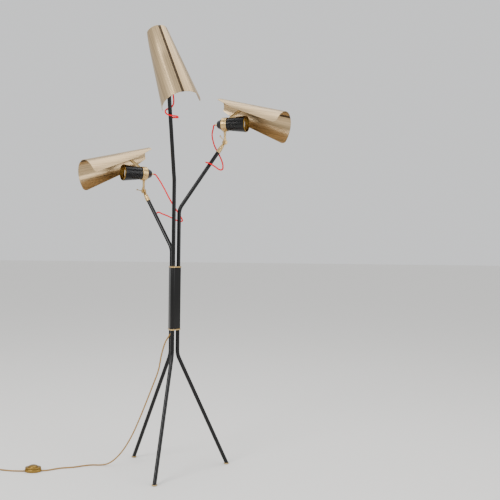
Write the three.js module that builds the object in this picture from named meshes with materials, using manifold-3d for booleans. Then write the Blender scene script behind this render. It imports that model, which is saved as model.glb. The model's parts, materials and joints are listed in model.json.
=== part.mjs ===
// Tripod floor lamp: three bent tubes in a sleeve, three swivelling heads, a mains cord with a foot switch.
// Millimetres, +Z up, +X to the right of the lamp's front, +Y to its back. Angles are in degrees.
import * as THREE from "three";
import { mergeVertices } from "three/addons/utils/BufferGeometryUtils.js";
import Module from "manifold-3d";

const wasm = await Module();
wasm.setup();

// Clearances
const GAP = 0.3;
const FIT = 0.35;

// Tubes
const TUBE_R = 7.5;
const TUBE_WALL = 1.5;
const BUNDLE_R = 16;
const FOOT_R = 220;
const FOOT_PAD_R = 10;
const FOOT_PAD_H = 5;
const LEG_BEND_Z = 440;
const LEG_BEND_R = 80;
const ARM_BEND_R = 60;
const SOCKET = 50;

// One entry per arm: azimuth, bend height, lean from vertical, end height, stem lean, swivel, shade roll
const ARMS = {
  left: { azimuth: 133.8, bendZ: 847, lean: 36.4, endZ: 1030, stemLean: 0, yaw: 71.2, roll: 30 },
  right: { azimuth: 13.8, bendZ: 997, lean: 34.1, endZ: 1220, stemLean: 0, yaw: -38.8, roll: -30 },
  top: { azimuth: 253.8, bendZ: 1106, lean: 14.9, endZ: 1440, stemLean: 49, yaw: 25.5, roll: -3 },
};
const LEVER_SIDE = { left: 1, right: -1, top: 1 };
const LEVER_ANGLE = { left: 80, right: -44, top: -50 };

// Column
const SLEEVE_Z0 = 540;
const SLEEVE_Z1 = 774;
const SLEEVE_SKIN = 2.4;
const SLEEVE_LINING = 0.65;
const COLLAR_T = 5;
const COLLAR_SKIN = 3.7;

// Knuckles
const DISC_R = 9.5;
const DISC_T = 5;
const SCREW_R = 2;
const SCREW_CLEAR = 0.3;
const FERRULE_R = 8.75;
const FERRULE_TIP_R = 5.2;
const NECK_W = 8.8;
const STEM_R = 4.6;
const STEM_TOP_R = 5.6;
const LEVER_LENGTH = 34;
const LEVER_R = 1.6;
const LEVER_TIP_R = 2.7;
const BOSS_R = 5.2;
const BOSS_T = 4;

// Heads: u runs forward, w away from the stem
const HEAD_RISE = 69;
const HOUSING_R = 24;
const HOUSING_MOUTH_R = 32;
const HOUSING_BACK = -9;
const HOUSING_FLARE = 12;
const HOUSING_FRONT = 86;
const HOUSING_WALL = 1.5;
const BAND_R = HOUSING_R + 3;
const BAND_FRONT = 5;
const CAP_LENGTH = 20.7;
const CAP_TIP_R = 14;
const GLAND_LENGTH = 10;
const GLAND_R = 5;
const BAFFLE_BACK = 74;
const BAFFLE_FRONT = 90;
const BAFFLE_WALL = 1.6;
const HOLDER_R = 15;
const HOLDER_FRONT = 28;
const BULB_R = 25;
const BULB_FRONT = 78;

// Shades: x runs down the ridge line from the back
const SHADE_BACK_U = -33;
const SHADE_BACK_W = 119;
const SHADE_FRONT_U = 257;
const SHADE_FRONT_W = 35;
const SHADE_BACK_R = 39;
const SHADE_FRONT_R = 68.5;
const SHADE_WALL = 21.5;
const SHADE_T = 1.5;
const SHADE_CUT = 0.25;
const SHADE_CUT_RUN = 0.36;
const SHADE_CORNER = 16;
const SEAM_FROM = 6;
const SEAM_TO = 16;
const SEAM_DEPTH = 1.2;
const STRAP_W = 14;
const STRAP_T = 1.8;
const STRAP_X0 = 104;
const STRAP_X1 = 134;
const STRAP_DROP = 1.1;

// Cords
const CABLE_R = 2.8;
const MAINS_R = 3;
const BUSHING_R = 4.8;
const BUSHING_TIP_R = 3.9;
const BUSHING_LENGTH = 14;
const BUSHING_TILT = 40;
const BUSHING_AZIMUTH = 193.8;
const MAINS_STEP = 17;
const CABLE_STEP = 9;
const COIL_MID_R = 33;
const COIL_TURNS_WIDE = 2;
const COIL_TURNS_HIGH = 3;
const COIL_X = -725;
const COIL_Y = -25;
const PLUG_R = 18;
const PLUG_LENGTH = 34;

// Foot switch
const SWITCH_X = -520;
const SWITCH_Y = -20;
const SWITCH_L = 62;
const SWITCH_W = 44;
const SWITCH_BASE_H = 12;
const SWITCH_COVER_TOP = 19;
const BUTTON_R = 18;
const BUTTON_TOP = 26;
const BUTTON_TRAVEL = 2;

const Z = new THREE.Vector3(0, 0, 1);
const rad = THREE.MathUtils.degToRad;
const V2 = (x, y) => new THREE.Vector2(x, y);
const V3 = (x, y, z) => new THREE.Vector3(x, y, z);

const BLACK = { color: 0x1b1b1c, roughness: 0.5, metalness: 0.3 };
const LEATHER = { color: 0x161514, roughness: 0.6, metalness: 0 };
const BRASS = { color: 0xb08a4a, roughness: 0.32, metalness: 1 };
const CHAMPAGNE = { color: 0xc9a878, roughness: 0.38, metalness: 1 };
const RED = { color: 0x9c2a22, roughness: 0.8, metalness: 0 };
const GOLD_CORD = { color: 0xb38a3c, roughness: 0.75, metalness: 0 };
const DARK = { color: 0x222222, roughness: 0.7, metalness: 0 };
const GLASS = { color: 0xf2efe6, roughness: 0.3, metalness: 0 };

const lamp = new THREE.Group();
lamp.name = "tripod_floor_lamp";

// Closed, outward copy of a geometry, with repeated points joined
function clean(geometry) {
  const bare = geometry.clone();
  bare.deleteAttribute("normal");
  bare.deleteAttribute("uv");
  const merged = mergeVertices(bare, 1e-4);
  const p = merged.attributes.position;
  const index = [];
  let volume = 0;
  const a = V3(0, 0, 0);
  const b = V3(0, 0, 0);
  const c = V3(0, 0, 0);
  for (let i = 0; i < merged.index.count; i += 3) {
    const [ia, ib, ic] = [0, 1, 2].map((k) => merged.index.getX(i + k));
    if (ia !== ib && ib !== ic && ia !== ic) {
      index.push(ia, ib, ic);
      a.fromBufferAttribute(p, ia);
      b.fromBufferAttribute(p, ib);
      c.fromBufferAttribute(p, ic);
      volume += a.dot(b.cross(c));
    }
  }
  if (volume < 0) {
    index.reverse();
  }
  merged.setIndex(index);
  return merged;
}

function solid(geometry) {
  const g = clean(geometry);
  return new wasm.Manifold(
    new wasm.Mesh({
      numProp: 3,
      vertProperties: Float32Array.from(g.attributes.position.array),
      triVerts: Uint32Array.from(g.index.array),
    }),
  );
}

function shell(made) {
  const mesh = made.getMesh();
  const g = new THREE.BufferGeometry();
  g.setAttribute("position", new THREE.BufferAttribute(Float32Array.from(mesh.vertProperties), 3));
  g.setIndex(Array.from(mesh.triVerts));
  return g;
}

function join(first, ...rest) {
  return shell(rest.reduce((sum, g) => sum.add(solid(g)), solid(first)));
}

function cut(first, ...rest) {
  return shell(rest.reduce((left, g) => left.subtract(solid(g)), solid(first)));
}

function add(parent, name, geometry, look) {
  const g = clean(geometry);
  g.computeVertexNormals();
  const mesh = new THREE.Mesh(g, new THREE.MeshStandardMaterial({ ...look, flatShading: true }));
  mesh.name = name;
  parent.add(mesh);
  return mesh;
}

// Turned piece about Z from radius and height pairs; aboutX lays it along X
function turned(pairs, segments) {
  const points = [...pairs, pairs[0]].map(([r, z]) => V2(r, z));
  return new THREE.LatheGeometry(points, segments).rotateX(Math.PI / 2);
}

function aboutX(pairs, segments) {
  const points = [...pairs, pairs[0]].map(([r, x]) => V2(r, x));
  return new THREE.LatheGeometry(points, segments).rotateZ(-Math.PI / 2);
}

// A pin along Y between two stations
function pinY(radius, y0, y1, segments) {
  return new THREE.CylinderGeometry(radius, radius, y1 - y0, segments).translate(0, (y0 + y1) / 2, 0);
}

function box(x0, x1, y0, y1, z0, z1) {
  const g = new THREE.BoxGeometry(x1 - x0, y1 - y0, z1 - z0);
  return g.translate((x0 + x1) / 2, (y0 + y1) / 2, (z0 + z1) / 2);
}

// Path that stops exactly at its stations, one extrusion step between two of them
class Stations extends THREE.Curve {
  constructor(points) {
    super();
    this.points = points;
  }
  getPoint(t) {
    const last = this.points.length - 1;
    const i = Math.min(Math.floor(t * last + 1e-6), last - 1);
    return this.points[i].clone().lerp(this.points[i + 1], t * last - i);
  }
  getPointAt(t) {
    return this.getPoint(t);
  }
  getTangent(t) {
    const last = this.points.length - 1;
    const i = Math.round(t * last);
    const before = this.points[Math.max(i - 1, 0)];
    const after = this.points[Math.min(i + 1, last)];
    const here = this.points[i];
    const sum = V3(0, 0, 0);
    if (i > 0) {
      sum.add(here.clone().sub(before).normalize());
    }
    if (i < last) {
      sum.add(after.clone().sub(here).normalize());
    }
    return sum.normalize();
  }
  getTangentAt(t) {
    return this.getTangent(t);
  }
}

function ring(radius, sides) {
  const points = [];
  for (let i = 0; i < sides; i += 1) {
    const a = (2 * Math.PI * i) / sides;
    points.push(V2(radius * Math.cos(a), radius * Math.sin(a)));
  }
  return points;
}

function tubeAlong(points, radius, sides, bore, boreSides) {
  const section = new THREE.Shape(ring(radius, sides));
  if (bore) {
    section.holes.push(new THREE.Path(ring(bore, boreSides).reverse()));
  }
  const path = new Stations(points);
  return new THREE.ExtrudeGeometry(section, { extrudePath: path, steps: points.length - 1 });
}

// Rounds the corners of a flat polyline
function rounded(corners, radii, arcSteps) {
  const out = [corners[0]];
  for (let i = 1; i < corners.length - 1; i += 1) {
    const inDir = corners[i].clone().sub(corners[i - 1]).normalize();
    const outDir = corners[i + 1].clone().sub(corners[i]).normalize();
    const turn = inDir.angleTo(outDir);
    const reach = radii[i - 1] * Math.tan(turn / 2);
    const start = corners[i].clone().addScaledVector(inDir, -reach);
    const side = outDir.clone().addScaledVector(inDir, -outDir.dot(inDir)).normalize();
    for (let k = 0; k <= arcSteps; k += 1) {
      const a = (turn * k) / arcSteps;
      const p = start.clone();
      p.addScaledVector(inDir, radii[i - 1] * Math.sin(a));
      p.addScaledVector(side, radii[i - 1] * (1 - Math.cos(a)));
      out.push(p);
    }
  }
  out.push(corners[corners.length - 1]);
  return out;
}

function radial(azimuth, r, z) {
  return V3(r * Math.cos(rad(azimuth)), r * Math.sin(rad(azimuth)), z);
}

// Rounded triangle round the three tubes
function bundleOutline(skin, arcSteps) {
  const points = [];
  const order = [ARMS.right, ARMS.left, ARMS.top];
  for (const arm of order) {
    const centre = radial(arm.azimuth, BUNDLE_R, 0);
    for (let k = 0; k <= arcSteps; k += 1) {
      const a = rad(arm.azimuth - 60 + (120 * k) / arcSteps);
      points.push(V2(centre.x + skin * Math.cos(a), centre.y + skin * Math.sin(a)));
    }
  }
  return points;
}

function armGeometry(arm) {
  const out = radial(arm.azimuth, 1, 0);
  const along = out.clone().multiplyScalar(Math.sin(rad(arm.lean))).addScaledVector(Z, Math.cos(rad(arm.lean)));
  const reach = BUNDLE_R + (arm.endZ - arm.bendZ) * Math.tan(rad(arm.lean));
  const end = radial(arm.azimuth, reach, arm.endZ);
  const knuckle = end.clone().addScaledVector(along, SOCKET);
  const hinge = Z.clone().cross(out);
  const stem = out.clone().multiplyScalar(Math.sin(rad(arm.stemLean)));
  stem.addScaledVector(Z, Math.cos(rad(arm.stemLean)));
  const flat = out.clone().multiplyScalar(Math.cos(rad(arm.stemLean)));
  flat.addScaledVector(Z, -Math.sin(rad(arm.stemLean)));
  const side = stem.clone().cross(flat);
  const forward = flat.multiplyScalar(Math.cos(rad(arm.yaw))).addScaledVector(side, Math.sin(rad(arm.yaw)));
  const head = knuckle.clone().addScaledVector(stem, HEAD_RISE);
  return { out, along, end, knuckle, hinge, stem, forward, head };
}

function framed(name, x, y, z, origin) {
  const group = new THREE.Group();
  group.name = name;
  group.matrixAutoUpdate = false;
  group.matrix.makeBasis(x, y, z);
  group.matrix.setPosition(origin);
  lamp.add(group);
  return group;
}

// Legs, arms and feet
const TUBE_NAMES = { left: "tube_left", right: "tube_right", top: "tube_tall" };
const FOOT_NAMES = { left: "foot_left", right: "foot_right", top: "foot_front" };
const LEG_TAIL = 12;

for (const [side, arm] of Object.entries(ARMS)) {
  const g = armGeometry(arm);
  const footTop = FOOT_PAD_H + GAP;
  const slope = (FOOT_R - BUNDLE_R) / (LEG_BEND_Z - footTop);
  const corners = [
    radial(arm.azimuth, FOOT_R + slope * LEG_TAIL, footTop - LEG_TAIL),
    radial(arm.azimuth, BUNDLE_R, LEG_BEND_Z),
    radial(arm.azimuth, BUNDLE_R, arm.bendZ),
    g.end,
  ];
  const path = rounded(corners, [LEG_BEND_R, ARM_BEND_R], 5);
  const tube = tubeAlong(path, TUBE_R, 12, TUBE_R - TUBE_WALL, 8);
  const below = box(-2 * FOOT_R, 2 * FOOT_R, -2 * FOOT_R, 2 * FOOT_R, -LEG_TAIL * 3, footTop);
  add(lamp, TUBE_NAMES[side], cut(tube, below), BLACK);

  const pad = turned(
    [
      [0, 0],
      [FOOT_PAD_R - 0.6, 0],
      [FOOT_PAD_R, 1.2],
      [FOOT_PAD_R, FOOT_PAD_H - 0.8],
      [FOOT_PAD_R - 0.8, FOOT_PAD_H],
      [0, FOOT_PAD_H],
    ],
    20,
  );
  const at = radial(arm.azimuth, FOOT_R, 0);
  add(lamp, FOOT_NAMES[side], pad.translate(at.x, at.y, 0), BRASS);
}

// Sleeve and collars
const sleeveShape = new THREE.Shape(bundleOutline(TUBE_R + SLEEVE_SKIN, 5));
sleeveShape.holes.push(new THREE.Path(bundleOutline(TUBE_R + SLEEVE_LINING, 5).reverse()));
const sleeve = new THREE.ExtrudeGeometry(sleeveShape, {
  depth: SLEEVE_Z1 - SLEEVE_Z0 - 2 * GAP,
  bevelEnabled: false,
});
add(lamp, "column_sleeve", sleeve.translate(0, 0, SLEEVE_Z0 + GAP), LEATHER);

function collar() {
  const plate = new THREE.Shape(bundleOutline(TUBE_R + COLLAR_SKIN, 5));
  for (const arm of Object.values(ARMS)) {
    const c = radial(arm.azimuth, BUNDLE_R, 0);
    const hole = ring((TUBE_R + FIT) / Math.cos(Math.PI / 14), 14);
    plate.holes.push(new THREE.Path(hole.map((p) => V2(p.x + c.x, p.y + c.y)).reverse()));
  }
  return new THREE.ExtrudeGeometry(plate, { depth: COLLAR_T, bevelEnabled: false });
}
add(lamp, "collar_bottom", collar().translate(0, 0, SLEEVE_Z0 - COLLAR_T), BRASS);
add(lamp, "collar_top", collar().translate(0, 0, SLEEVE_Z1), BRASS);

// Knuckles, stems and levers
const half = DISC_T / 2;
const slit = GAP / 2;

for (const [side, arm] of Object.entries(ARMS)) {
  const g = armGeometry(arm);
  const near = g.hinge.clone().multiplyScalar(LEVER_SIDE[side]);

  const ferruleFrame = framed("ferrule_frame_" + side, near.clone().cross(g.along), near, g.along, g.end);
  const barrel = turned(
    [
      [0, GAP],
      [FERRULE_R, GAP],
      [FERRULE_R, 7],
      [FERRULE_R - 0.9, 8],
      [FERRULE_R - 0.9, 10],
      [FERRULE_R - 0.2, 11],
      [FERRULE_R - 0.5, 19],
      [FERRULE_R - 1.4, 20],
      [FERRULE_R - 1.4, 22],
      [FERRULE_R - 0.9, 23],
      [FERRULE_TIP_R, SOCKET - DISC_R - 1.2],
      [0, SOCKET - DISC_R - 1.2],
    ],
    14,
  );
  const ferruleNeck = box(-NECK_W / 2, NECK_W / 2, -DISC_T - slit, -slit, SOCKET - DISC_R - 4, SOCKET);
  const ferruleDisc = pinY(DISC_R, -DISC_T - slit, -slit, 18).translate(0, 0, SOCKET);
  const ferruleHole = pinY(SCREW_R + SCREW_CLEAR, -20, 20, 10).translate(0, 0, SOCKET);
  const ferrule = shell(
    solid(barrel).add(solid(ferruleNeck)).add(solid(ferruleDisc)).subtract(solid(ferruleHole)),
  );
  add(ferruleFrame, "ferrule_" + side, ferrule, BRASS);

  const stemFrame = framed("stem_frame_" + side, near.clone().cross(g.stem), near, g.stem, g.knuckle);
  const stemTop = HEAD_RISE - BAND_R - GAP - 0.1;
  const stemBar = turned(
    [
      [0, DISC_R + 2],
      [STEM_R, DISC_R + 2],
      [STEM_R, stemTop - 6],
      [STEM_TOP_R, stemTop - 5],
      [STEM_TOP_R, stemTop],
      [0, stemTop],
    ],
    14,
  );
  const stemNeck = box(-NECK_W / 2, NECK_W / 2, slit, DISC_T + slit, 0, DISC_R + 5);
  const stemDisc = pinY(DISC_R, slit, DISC_T + slit, 18);
  const stemHole = pinY(SCREW_R + SCREW_CLEAR, -20, 20, 10);
  const stem = shell(solid(stemBar).add(solid(stemNeck)).add(solid(stemDisc)).subtract(solid(stemHole)));
  add(stemFrame, "stem_" + side, stem, BRASS);

  const angle = rad(LEVER_ANGLE[side]);
  const pointing = g.out.clone().multiplyScalar(Math.sin(angle)).addScaledVector(Z, Math.cos(angle));
  const leverFrame = framed("lever_frame_" + side, near.clone().cross(pointing), near, pointing, g.knuckle);
  const outer = DISC_T + slit + GAP;
  const boss = pinY(BOSS_R, outer, outer + BOSS_T, 14);
  const screw = pinY(SCREW_R, -outer - 1, outer + 1, 10);
  const screwHead = pinY(SCREW_R + 2.4, -outer - 3, -outer, 12);
  const rod = turned(
    [
      [0, 2],
      [LEVER_R, 2],
      [LEVER_R, LEVER_LENGTH - 9],
      [LEVER_TIP_R, LEVER_LENGTH - 6],
      [LEVER_TIP_R, LEVER_LENGTH - 1.5],
      [LEVER_TIP_R - 1.5, LEVER_LENGTH],
      [0, LEVER_LENGTH],
    ],
    8,
  ).translate(0, outer + BOSS_T / 2, 0);
  add(leverFrame, "clamp_lever_" + side, join(boss, screw, screwHead, rod), BRASS);
}

// Shade sheet
const RIDGE = V2(SHADE_FRONT_U - SHADE_BACK_U, SHADE_FRONT_W - SHADE_BACK_W);
const SHADE_LENGTH = RIDGE.length();
RIDGE.normalize();
const SHADE_STATIONS = [0, 0.03, 0.08, 0.15, 0.22, 0.29, 0.36, 0.5, 0.65, 0.8].map((f) => f * SHADE_LENGTH);
for (const back of [1, 0.55, 0.25, 0.08, 0]) {
  SHADE_STATIONS.push(SHADE_LENGTH - back * SHADE_CORNER);
}

// Point in the u, w plane a given depth under the ridge
function underRidge(x, depth) {
  const u = SHADE_BACK_U + x * RIDGE.x + depth * RIDGE.y;
  const w = SHADE_BACK_W + x * RIDGE.y - depth * RIDGE.x;
  return V2(u, w);
}

function halfGirth(x) {
  const f = x / SHADE_LENGTH;
  const r = SHADE_BACK_R + (SHADE_FRONT_R - SHADE_BACK_R) * f;
  let girth = (r * Math.PI) / 2 + SHADE_WALL * f;
  girth *= 1 - SHADE_CUT * (1 - Math.sin((Math.PI / 2) * Math.min(1, f / SHADE_CUT_RUN)));
  const past = x - (SHADE_LENGTH - SHADE_CORNER);
  if (past > 0) {
    girth -= SHADE_CORNER - Math.sqrt(Math.max(SHADE_CORNER ** 2 - past ** 2, 0));
  }
  return girth;
}

const LOW_PARTS = [-1, -0.84, -0.67, -0.5, -0.33, -0.16, 0];
const HIGH_PARTS = [0.25, 0.5, 0.75, 1];

function girthStations(x) {
  const g = halfGirth(x);
  const low = LOW_PARTS.map((f) => [f * g, 0]);
  const seam = [
    [SEAM_FROM, 0],
    [SEAM_FROM + 1, SEAM_DEPTH],
    [SEAM_TO - 1, SEAM_DEPTH],
    [SEAM_TO, 0],
  ];
  const high = HIGH_PARTS.map((f) => [SEAM_TO + (g - SEAM_TO) * f, 0]);
  return [...low, ...seam, ...high];
}

function shadePoint(x, girth, depth) {
  const r = SHADE_BACK_R + ((SHADE_FRONT_R - SHADE_BACK_R) * x) / SHADE_LENGTH;
  const s = Math.abs(girth);
  const a = Math.min(s / r, Math.PI / 2);
  const wall = Math.max(s - (r * Math.PI) / 2, 0);
  const v = Math.sign(girth) * (r - depth) * Math.sin(a);
  const drop = r - (r - depth) * Math.cos(a) + wall;
  const p = underRidge(x, drop);
  return V3(p.x, v, p.y);
}

function shadeSheet() {
  const nx = SHADE_STATIONS.length - 1;
  const ny = girthStations(0).length - 1;
  const g = new THREE.BoxGeometry(1, 1, 1, nx, ny, 1);
  const p = g.attributes.position;
  for (let i = 0; i < p.count; i += 1) {
    const x = SHADE_STATIONS[Math.round((p.getX(i) + 0.5) * nx)];
    const [girth, dip] = girthStations(x)[Math.round((p.getY(i) + 0.5) * ny)];
    const depth = p.getZ(i) > 0 ? 0 : SHADE_T;
    const at = shadePoint(x, girth, depth + dip);
    p.setXYZ(i, at.x, at.y, at.z);
  }
  return g;
}

function strapPlate() {
  const deep = SHADE_T + SEAM_DEPTH + STRAP_DROP;
  const foot = BAND_R - 1.4;
  const outline = [
    underRidge(STRAP_X1, deep),
    underRidge(STRAP_X0, deep),
    V2(BAND_FRONT + 3.4, foot),
    V2(BAND_FRONT + 5.9, foot),
    underRidge(STRAP_X0 + 2.2, deep + STRAP_T),
    underRidge(STRAP_X1, deep + STRAP_T),
  ];
  const g = new THREE.ExtrudeGeometry(new THREE.Shape(outline), { depth: STRAP_W, bevelEnabled: false });
  return g.translate(0, 0, -STRAP_W / 2).rotateX(Math.PI / 2);
}

// Heads
const RINGS = 20;

for (const [side, arm] of Object.entries(ARMS)) {
  const g = armGeometry(arm);
  const head = framed("head_frame_" + side, g.forward, g.stem.clone().cross(g.forward), g.stem, g.head);
  const bandInner = HOUSING_R + FIT;
  const band = aboutX(
    [
      [bandInner, HOUSING_BACK],
      [BAND_R, HOUSING_BACK],
      [BAND_R, BAND_FRONT],
      [bandInner, BAND_FRONT],
    ],
    RINGS,
  );
  add(head, "clamp_band_" + side, band, BRASS);

  const housing = aboutX(
    [
      [HOUSING_R - HOUSING_WALL, HOUSING_BACK],
      [HOUSING_R, HOUSING_BACK],
      [HOUSING_R, HOUSING_FLARE],
      [HOUSING_MOUTH_R, HOUSING_FRONT],
      [HOUSING_MOUTH_R - HOUSING_WALL, HOUSING_FRONT],
      [HOUSING_R - HOUSING_WALL, HOUSING_FLARE],
    ],
    RINGS,
  );
  add(head, "housing_" + side, housing, BLACK);

  const capBase = HOUSING_BACK - GAP;
  const cap = aboutX(
    [
      [0, capBase - CAP_LENGTH],
      [CAP_TIP_R, capBase - CAP_LENGTH],
      [HOUSING_R - 3, capBase - 5],
      [HOUSING_R, capBase - 3],
      [HOUSING_R, capBase],
      [0, capBase],
    ],
    RINGS,
  );
  add(head, "rear_cap_" + side, cap, BLACK);

  const glandBase = capBase - CAP_LENGTH - GAP;
  const gland = aboutX(
    [
      [0, glandBase - GLAND_LENGTH],
      [GLAND_R - 1.2, glandBase - GLAND_LENGTH],
      [GLAND_R - 1, glandBase - 4],
      [GLAND_R, glandBase - 3.4],
      [GLAND_R, glandBase],
      [0, glandBase],
    ],
    12,
  );
  add(head, "cable_gland_" + side, gland, BRASS);

  const flare = (HOUSING_MOUTH_R - HOUSING_R) / (HOUSING_FRONT - HOUSING_FLARE);
  const innerAt = (u) => HOUSING_R - HOUSING_WALL + flare * (u - HOUSING_FLARE) - FIT;
  const baffle = aboutX(
    [
      [innerAt(BAFFLE_BACK) - BAFFLE_WALL, BAFFLE_BACK],
      [innerAt(BAFFLE_BACK), BAFFLE_BACK],
      [innerAt(BAFFLE_FRONT), BAFFLE_FRONT],
      [innerAt(BAFFLE_FRONT) - BAFFLE_WALL, BAFFLE_FRONT],
    ],
    RINGS,
  );
  add(head, "baffle_" + side, baffle, BRASS);

  const holder = aboutX(
    [
      [0, HOUSING_BACK + GAP],
      [HOLDER_R, HOUSING_BACK + GAP],
      [HOLDER_R, HOLDER_FRONT],
      [0, HOLDER_FRONT],
    ],
    12,
  );
  add(head, "lamp_holder_" + side, holder, DARK);

  const bulb = aboutX(
    [
      [0, HOLDER_FRONT + GAP],
      [8, HOLDER_FRONT + GAP],
      [10, HOLDER_FRONT + 10],
      [BULB_R, BULB_FRONT - 13],
      [BULB_R, BULB_FRONT - 7],
      [BULB_R - 9, BULB_FRONT - 1],
      [0, BULB_FRONT],
    ],
    16,
  );
  add(head, "bulb_" + side, bulb, GLASS);

  const shadeFrame = new THREE.Group();
  shadeFrame.name = "shade_frame_" + side;
  shadeFrame.rotation.x = rad(arm.roll);
  head.add(shadeFrame);
  const bracketRing = aboutX(
    [
      [bandInner, BAND_FRONT + GAP],
      [BAND_R, BAND_FRONT + GAP],
      [BAND_R, HOUSING_FLARE],
      [bandInner, HOUSING_FLARE],
    ],
    RINGS,
  );
  add(shadeFrame, "shade_bracket_" + side, join(bracketRing, strapPlate()), BRASS);
  add(shadeFrame, "shade_" + side, shadeSheet(), CHAMPAGNE);
}

// Cords: even stations along a smooth curve through the given points
function route(points, step) {
  const curve = new THREE.CatmullRomCurve3(points, false, "centripetal");
  const count = Math.max(2, Math.round(curve.getLength() / step));
  return curve.getSpacedPoints(count);
}

// Points above the lamp's origin that each red cable hangs through, from the gland to the tube
const CABLE_POINTS = {
  left: [
    [-74.7, 140, 1130.7],
    [-58.1, 128, 1105.9],
    [-42.7, 112, 1078.7],
    [-27, 94, 1048.6],
    [-8.7, 76, 1016.4],
    [9.4, 60, 988.5],
    [24.5, 50, 964.8],
    [29, 46, 953],
    [15.6, 46, 952],
    [-7.9, 50, 962],
    [-31.5, 58, 973],
    [-50, 66, 980],
  ],
  right: [
    [145.1, 68, 1318.3],
    [140.4, 68, 1292.8],
    [145.7, 65, 1262.9],
    [152.5, 61, 1242.9],
    [159.4, 58, 1230.4],
    [169.1, 51, 1210.6],
    [177.6, 41, 1190.3],
    [182.2, 31, 1170.2],
    [179.7, 21, 1153.7],
    [168.2, 15.5, 1152.6],
    [151.6, 14.5, 1163.3],
    [134, 15.5, 1173.6],
    [120.7, 22, 1179],
    [116.4, 34, 1181.8],
    [122.4, 45, 1180.7],
  ],
  top: [
    [-61, -124, 1570],
    [-58, -104, 1571],
    [-48, -84, 1548],
    [-36, -70, 1508],
    [-24, -65, 1465],
    [-12.3, -65, 1419.7],
    [-10.1, -65, 1399.1],
    [-12.1, -63, 1384.4],
    [-21.8, -61, 1372.6],
    [-36.2, -69, 1366.1],
    [-40.6, -84, 1354.1],
    [-31.4, -96, 1342.8],
    [-13, -99, 1338.8],
    [3, -90, 1338.6],
    [6.7, -78, 1335.5],
  ],
};
const CABLE_SPLIT = { left: 3, right: 3, top: 2 };
const HOLE_Z = { left: 979, right: 1181, top: 1334 };
const HOLE_SIDE = { left: [1, -0.3, 0.2], right: [-0.3, 0.95, 0], top: [0.9, 0.45, 0] };

for (const [side, arm] of Object.entries(ARMS)) {
  const g = armGeometry(arm);
  const holeReach = BUNDLE_R + (HOLE_Z[side] - arm.bendZ) * Math.tan(rad(arm.lean));
  const hole = radial(arm.azimuth, holeReach, HOLE_Z[side]);
  const away = V3(...HOLE_SIDE[side]);
  away.addScaledVector(g.along, -away.dot(g.along)).normalize();
  const mouth = hole.clone().addScaledVector(away, TUBE_R + 3 * GAP);
  const lead = hole.clone().addScaledVector(away, TUBE_R + 7);
  const back = HOUSING_BACK - CAP_LENGTH - GLAND_LENGTH - 3 * GAP - 1;
  const start = g.head.clone().addScaledVector(g.forward, back);
  const startLead = g.head.clone().addScaledVector(g.forward, back - 5);
  const points = CABLE_POINTS[side].map((p) => V3(...p));
  const whole = route([start, startLead, ...points, lead, mouth], CABLE_STEP);
  const splitAt = points[CABLE_SPLIT[side]];
  let nearest = 0;
  whole.forEach((p, i) => {
    if (p.distanceTo(splitAt) < whole[nearest].distanceTo(splitAt)) {
      nearest = i;
    }
  });
  const upper = whole.slice(0, nearest + 1);
  const lower = whole.slice(nearest);
  const onward = lower[1].clone().sub(lower[0]).normalize();
  lower[0] = lower[0].clone().addScaledVector(onward, GAP);
  add(lamp, "cable_" + side + "_upper", tubeAlong(upper, CABLE_R, 8), RED);
  add(lamp, "cable_" + side + "_lower", tubeAlong(lower, CABLE_R, 8), RED);
}

// Mains cord, from the bushing between the tubes to the switch and on to the coil
const leanAway = radial(BUSHING_AZIMUTH, Math.sin(rad(BUSHING_TILT)), -Math.cos(rad(BUSHING_TILT)));
const bushingTop = radial(BUSHING_AZIMUTH, 1, SLEEVE_Z0 - COLLAR_T - BUSHING_R * 0.8);
const bushingTip = bushingTop.clone().addScaledVector(leanAway, BUSHING_LENGTH);
const bushing = turned(
  [
    [0, 0],
    [BUSHING_R, 0],
    [BUSHING_TIP_R, BUSHING_LENGTH],
    [0, BUSHING_LENGTH],
  ],
  12,
);
const bushingSide = Z.clone().cross(leanAway).normalize();
const bushingFrame = framed("bushing_frame", bushingSide, leanAway.clone().cross(bushingSide), leanAway, bushingTop);
add(bushingFrame, "cord_bushing", bushing, DARK);

const FLOOR = MAINS_R + 0.05;
const switchRight = SWITCH_X + SWITCH_L / 2 + GAP;
const switchLeft = SWITCH_X - SWITCH_L / 2 - GAP;
const mainsA = [
  bushingTip.clone().addScaledVector(leanAway, GAP),
  bushingTip.clone().addScaledVector(leanAway, 8),
  V3(-29, -7, 492),
  V3(-44, -8, 444),
  V3(-56, -6, 380),
  V3(-78, 0, 317),
  V3(-103, 6, 250),
  V3(-127, 12, 188),
  V3(-155, 20, 123),
  V3(-185, 28, 70),
  V3(-214, 34, 34),
  V3(-246, 40, 10),
  V3(-280, 46, FLOOR),
  V3(-312, 48, FLOOR),
  V3(-345, 36, FLOOR),
  V3(-374, 22, FLOOR),
  V3(-426, 10, FLOOR),
  V3(-456, -8, FLOOR),
  V3(switchRight + 10, -18, FLOOR),
  V3(switchRight, SWITCH_Y, FLOOR),
];
function aboveFloor(points) {
  return points.map((p) => V3(p.x, p.y, Math.max(p.z, FLOOR)));
}
add(lamp, "mains_cord_a", tubeAlong(aboveFloor(route(mainsA, MAINS_STEP)), MAINS_R, 8), GOLD_CORD);

const coilHalf = COIL_TURNS_WIDE * MAINS_R;
const coilHeight = COIL_TURNS_HIGH * 2 * MAINS_R;
const besideCoil = COIL_Y + COIL_MID_R + coilHalf + MAINS_R + GAP;
const mainsB = [
  V3(switchLeft, SWITCH_Y, FLOOR),
  V3(switchLeft - 10, SWITCH_Y, FLOOR),
  V3(-600, -15, FLOOR),
  V3(-632, -4, FLOOR),
  V3(-661, 7, FLOOR),
  V3(-692, besideCoil - 1, FLOOR),
  V3(COIL_X, besideCoil, FLOOR),
];
add(lamp, "mains_cord_b", tubeAlong(aboveFloor(route(mainsB, MAINS_STEP)), MAINS_R, 8), GOLD_CORD);

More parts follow.
